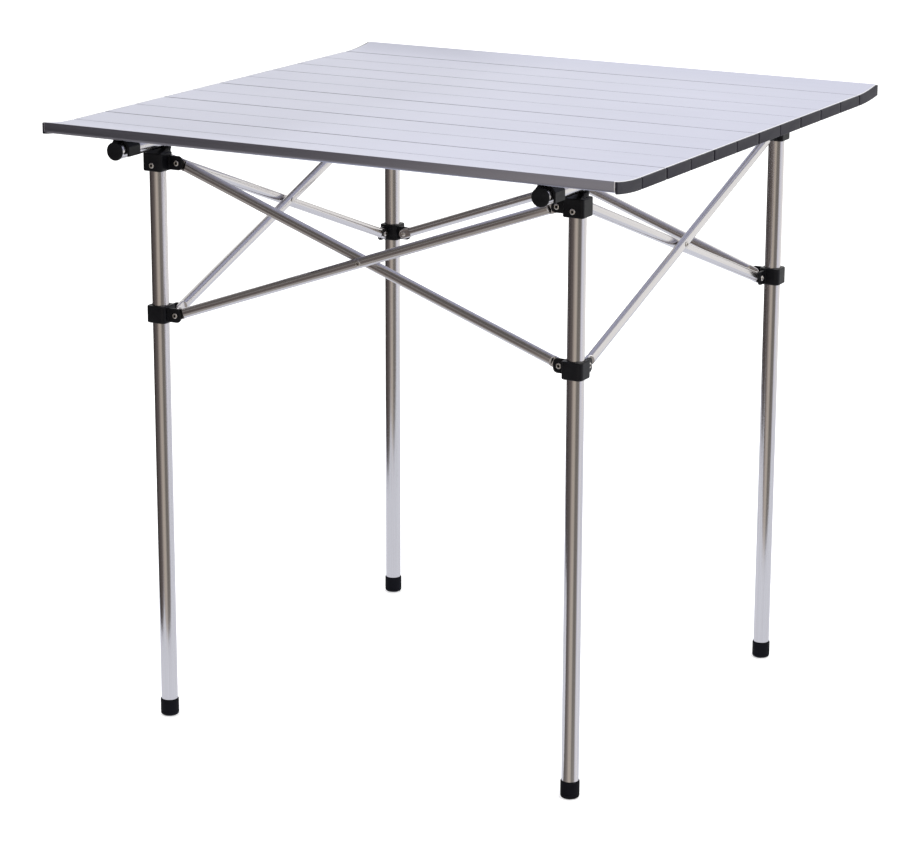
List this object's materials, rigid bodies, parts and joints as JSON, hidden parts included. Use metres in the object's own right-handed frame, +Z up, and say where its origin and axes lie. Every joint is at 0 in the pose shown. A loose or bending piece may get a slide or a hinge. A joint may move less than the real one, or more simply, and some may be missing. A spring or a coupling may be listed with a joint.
{
  "type": "folding side table",
  "caption": "Square camping side table: a roll-up slatted aluminium top clips on rails over a folding frame of scissor braces and tubular legs.",
  "frame": {"origin": "on the floor under the middle of the table", "axes": "+X along the slats to the right, +Y across the slats to the rear, +Z up"},
  "size_m": [0.7, 0.706, 0.703],
  "materials": {
    "slat_aluminium": "satin anodised, fine grain along the slat",
    "tube_aluminium": "polished satin, drawn along the tube",
    "black_plastic": "satin moulded nylon",
    "foot_rubber": "matt",
    "rivet_steel": "nickel plated"
  },
  "bodies": {
    "leg_front_left": {"leg_front_left": "tube_aluminium", "foot_front_left": "foot_rubber", "bracket_front_left": "black_plastic", "bracket_rivets_front_left": "rivet_steel"},
    "leg_front_right": {"leg_front_right": "tube_aluminium", "foot_front_right": "foot_rubber", "bracket_front_right": "black_plastic", "bracket_rivets_front_right": "rivet_steel"},
    "leg_rear_right": {"leg_rear_right": "tube_aluminium", "foot_rear_right": "foot_rubber", "bracket_rear_right": "black_plastic", "bracket_rivets_rear_right": "rivet_steel"},
    "leg_rear_left": {"leg_rear_left": "tube_aluminium", "foot_rear_left": "foot_rubber", "bracket_rear_left": "black_plastic", "bracket_rivets_rear_left": "rivet_steel"},
    "slider_front_right": {"slider_front_right": "black_plastic", "slider_rivets_front_right": "rivet_steel"},
    "slider_rear_right": {"slider_rear_right": "black_plastic", "slider_rivets_rear_right": "rivet_steel"},
    "slider_rear_left": {"slider_rear_left": "black_plastic", "slider_rivets_rear_left": "rivet_steel"},
    "slider_front_left": {"slider_front_left": "black_plastic", "slider_rivets_front_left": "rivet_steel"},
    "brace_front_outer": {"brace_front_outer": "tube_aluminium", "crossing_rivet_front": "rivet_steel"},
    "brace_front_inner": {"brace_front_inner": "tube_aluminium"},
    "brace_right_outer": {"brace_right_outer": "tube_aluminium", "crossing_rivet_right": "rivet_steel"},
    "brace_right_inner": {"brace_right_inner": "tube_aluminium"},
    "brace_rear_outer": {"brace_rear_outer": "tube_aluminium", "crossing_rivet_rear": "rivet_steel"},
    "brace_rear_inner": {"brace_rear_inner": "tube_aluminium"},
    "brace_left_outer": {"brace_left_outer": "tube_aluminium", "crossing_rivet_left": "rivet_steel"},
    "brace_left_inner": {"brace_left_inner": "tube_aluminium"},
    "rails": {"rail_left": "tube_aluminium", "rail_right": "tube_aluminium", "rail_caps": "black_plastic", "rail_studs": "black_plastic"},
    "slat_01": {"slat_01": "slat_aluminium", "clips_front": "black_plastic"},
    "slat_02": {"slat_02": "slat_aluminium"},
    "slat_03": {"slat_03": "slat_aluminium"},
    "slat_04": {"slat_04": "slat_aluminium"},
    "slat_05": {"slat_05": "slat_aluminium"},
    "slat_06": {"slat_06": "slat_aluminium"},
    "slat_07": {"slat_07": "slat_aluminium"},
    "slat_08": {"slat_08": "slat_aluminium"},
    "slat_09": {"slat_09": "slat_aluminium"},
    "slat_10": {"slat_10": "slat_aluminium"},
    "slat_11": {"slat_11": "slat_aluminium"},
    "slat_12": {"slat_12": "slat_aluminium", "clips_rear": "black_plastic"}
  },
  "joints": [
    {"name": "frame_fold", "type": "hinge", "parent": "leg_front_left", "child": "brace_front_inner", "pos_m": [-0.239, -0.252, 0.652], "axis": [0, 1, 0], "range_deg": [0, 66]},
    {"name": "front_crossing", "type": "hinge", "parent": "brace_front_inner", "child": "brace_front_outer", "pos_m": [0, -0.257, 0.566], "axis": [0, 1, 0], "range_deg": [-132, 0]},
    {"name": "front_right_bracket_pin", "type": "hinge", "parent": "brace_front_outer", "child": "leg_front_right", "pos_m": [0.239, -0.262, 0.652], "axis": [0, 1, 0], "range_deg": [0, 66]},
    {"name": "front_right_slider_pin", "type": "hinge", "parent": "brace_front_inner", "child": "slider_front_right", "pos_m": [0.239, -0.252, 0.48], "axis": [0, 1, 0], "range_deg": [-66, 0]},
    {"name": "front_left_slider_pin", "type": "hinge", "parent": "brace_front_outer", "child": "slider_front_left", "pos_m": [-0.239, -0.262, 0.48], "axis": [0, 1, 0], "range_deg": [0, 66]},
    {"name": "front_left_bracket_pin", "type": "hinge", "parent": "leg_front_left", "child": "brace_left_outer", "pos_m": [-0.262, -0.239, 0.652], "axis": [-1, 0, 0], "range_deg": [0, 66]},
    {"name": "left_crossing", "type": "hinge", "parent": "brace_left_outer", "child": "brace_left_inner", "pos_m": [-0.257, 0, 0.566], "axis": [-1, 0, 0], "range_deg": [-132, 0]},
    {"name": "rear_left_bracket_pin", "type": "hinge", "parent": "brace_left_inner", "child": "leg_rear_left", "pos_m": [-0.252, 0.239, 0.652], "axis": [-1, 0, 0], "range_deg": [0, 66]},
    {"name": "rear_left_slider_pin", "type": "hinge", "parent": "brace_left_outer", "child": "slider_rear_left", "pos_m": [-0.262, 0.239, 0.48], "axis": [-1, 0, 0], "range_deg": [-66, 0]},
    {"name": "front_right_bracket_side_pin", "type": "hinge", "parent": "leg_front_right", "child": "brace_right_inner", "pos_m": [0.252, -0.239, 0.652], "axis": [-1, 0, 0], "range_deg": [0, 66]},
    {"name": "right_crossing", "type": "hinge", "parent": "brace_right_inner", "child": "brace_right_outer", "pos_m": [0.257, 0, 0.566], "axis": [-1, 0, 0], "range_deg": [-132, 0]},
    {"name": "rear_right_bracket_pin", "type": "hinge", "parent": "brace_right_outer", "child": "leg_rear_right", "pos_m": [0.262, 0.239, 0.652], "axis": [-1, 0, 0], "range_deg": [0, 66]},
    {"name": "rear_right_slider_pin", "type": "hinge", "parent": "brace_right_inner", "child": "slider_rear_right", "pos_m": [0.252, 0.239, 0.48], "axis": [-1, 0, 0], "range_deg": [-66, 0]},
    {"name": "rear_left_bracket_rear_pin", "type": "hinge", "parent": "leg_rear_left", "child": "brace_rear_outer", "pos_m": [-0.239, 0.262, 0.652], "axis": [0, 1, 0], "range_deg": [0, 66]},
    {"name": "rear_crossing", "type": "hinge", "parent": "brace_rear_outer", "child": "brace_rear_inner", "pos_m": [0, 0.257, 0.566], "axis": [0, 1, 0], "range_deg": [-132, 0]},
    {"name": "rails_rise", "type": "slide", "parent": "leg_front_left", "child": "rails", "axis": [0, 0, 1], "range_m": [0, 0.34559]},
    {"name": "top_lift", "type": "slide", "parent": "rails", "child": "slat_12", "axis": [0, 0, 1], "range_m": [0, 0.06]},
    {"name": "slat_joint_11", "type": "hinge", "parent": "slat_12", "child": "slat_11", "pos_m": [0, 0.29432, 0.698], "axis": [-1, 0, 0], "range_deg": [0, 33]},
    {"name": "slat_joint_10", "type": "hinge", "parent": "slat_11", "child": "slat_10", "pos_m": [0, 0.23533, 0.698], "axis": [-1, 0, 0], "range_deg": [0, 33.91]},
    {"name": "slat_joint_09", "type": "hinge", "parent": "slat_10", "child": "slat_09", "pos_m": [0, 0.17665, 0.698], "axis": [-1, 0, 0], "range_deg": [0, 35.74]},
    {"name": "slat_joint_08", "type": "hinge", "parent": "slat_09", "child": "slat_08", "pos_m": [0, 0.11772, 0.698], "axis": [-1, 0, 0], "range_deg": [0, 38.25]},
    {"name": "slat_joint_07", "type": "hinge", "parent": "slat_08", "child": "slat_07", "pos_m": [0, 0.05903, 0.698], "axis": [-1, 0, 0], "range_deg": [0, 41.31]},
    {"name": "slat_joint_06", "type": "hinge", "parent": "slat_07", "child": "slat_06", "pos_m": [0, 0.00005, 0.698], "axis": [-1, 0, 0], "range_deg": [0, 44.88]},
    {"name": "slat_joint_05", "type": "hinge", "parent": "slat_06", "child": "slat_05", "pos_m": [0, -0.05893, 0.698], "axis": [-1, 0, 0], "range_deg": [0, 48.9]},
    {"name": "slat_joint_04", "type": "hinge", "parent": "slat_05", "child": "slat_04", "pos_m": [0, -0.11792, 0.698], "axis": [-1, 0, 0], "range_deg": [0, 53.35]},
    {"name": "slat_joint_03", "type": "hinge", "parent": "slat_04", "child": "slat_03", "pos_m": [0, -0.1769, 0.698], "axis": [-1, 0, 0], "range_deg": [0, 58.19]},
    {"name": "slat_joint_02", "type": "hinge", "parent": "slat_03", "child": "slat_02", "pos_m": [0, -0.23588, 0.698], "axis": [-1, 0, 0], "range_deg": [0, 63.42]},
    {"name": "top_roll", "type": "hinge", "parent": "slat_02", "child": "slat_01", "pos_m": [0, -0.29487, 0.698], "axis": [-1, 0, 0], "range_deg": [0, 69]}
  ],
  "couplings": [
    {"joint": "front_crossing", "follows": "frame_fold", "ratio": -2},
    {"joint": "front_right_bracket_pin", "follows": "frame_fold", "ratio": 1},
    {"joint": "front_right_slider_pin", "follows": "frame_fold", "ratio": -1},
    {"joint": "front_left_slider_pin", "follows": "frame_fold", "ratio": 1},
    {"joint": "front_left_bracket_pin", "follows": "frame_fold", "ratio": 1},
    {"joint": "left_crossing", "follows": "frame_fold", "ratio": -2},
    {"joint": "rear_left_bracket_pin", "follows": "frame_fold", "ratio": 1},
    {"joint": "rear_left_slider_pin", "follows": "frame_fold", "ratio": -1},
    {"joint": "front_right_bracket_side_pin", "follows": "frame_fold", "ratio": 1},
    {"joint": "right_crossing", "follows": "frame_fold", "ratio": -2},
    {"joint": "rear_right_bracket_pin", "follows": "frame_fold", "ratio": 1},
    {"joint": "rear_right_slider_pin", "follows": "frame_fold", "ratio": -1},
    {"joint": "rear_left_bracket_rear_pin", "follows": "frame_fold", "ratio": 1},
    {"joint": "rear_crossing", "follows": "frame_fold", "ratio": -2},
    {"joint": "rails_rise", "follows": "frame_fold", "m_per_rad": 0.3},
    {"joint": "slat_joint_11", "follows": "top_roll", "ratio": 0.4783},
    {"joint": "slat_joint_10", "follows": "top_roll", "ratio": 0.4914},
    {"joint": "slat_joint_09", "follows": "top_roll", "ratio": 0.518},
    {"joint": "slat_joint_08", "follows": "top_roll", "ratio": 0.5543},
    {"joint": "slat_joint_07", "follows": "top_roll", "ratio": 0.5987},
    {"joint": "slat_joint_06", "follows": "top_roll", "ratio": 0.6504},
    {"joint": "slat_joint_05", "follows": "top_roll", "ratio": 0.7087},
    {"joint": "slat_joint_04", "follows": "top_roll", "ratio": 0.7731},
    {"joint": "slat_joint_03", "follows": "top_roll", "ratio": 0.8433},
    {"joint": "slat_joint_02", "follows": "top_roll", "ratio": 0.9191}
  ]
}
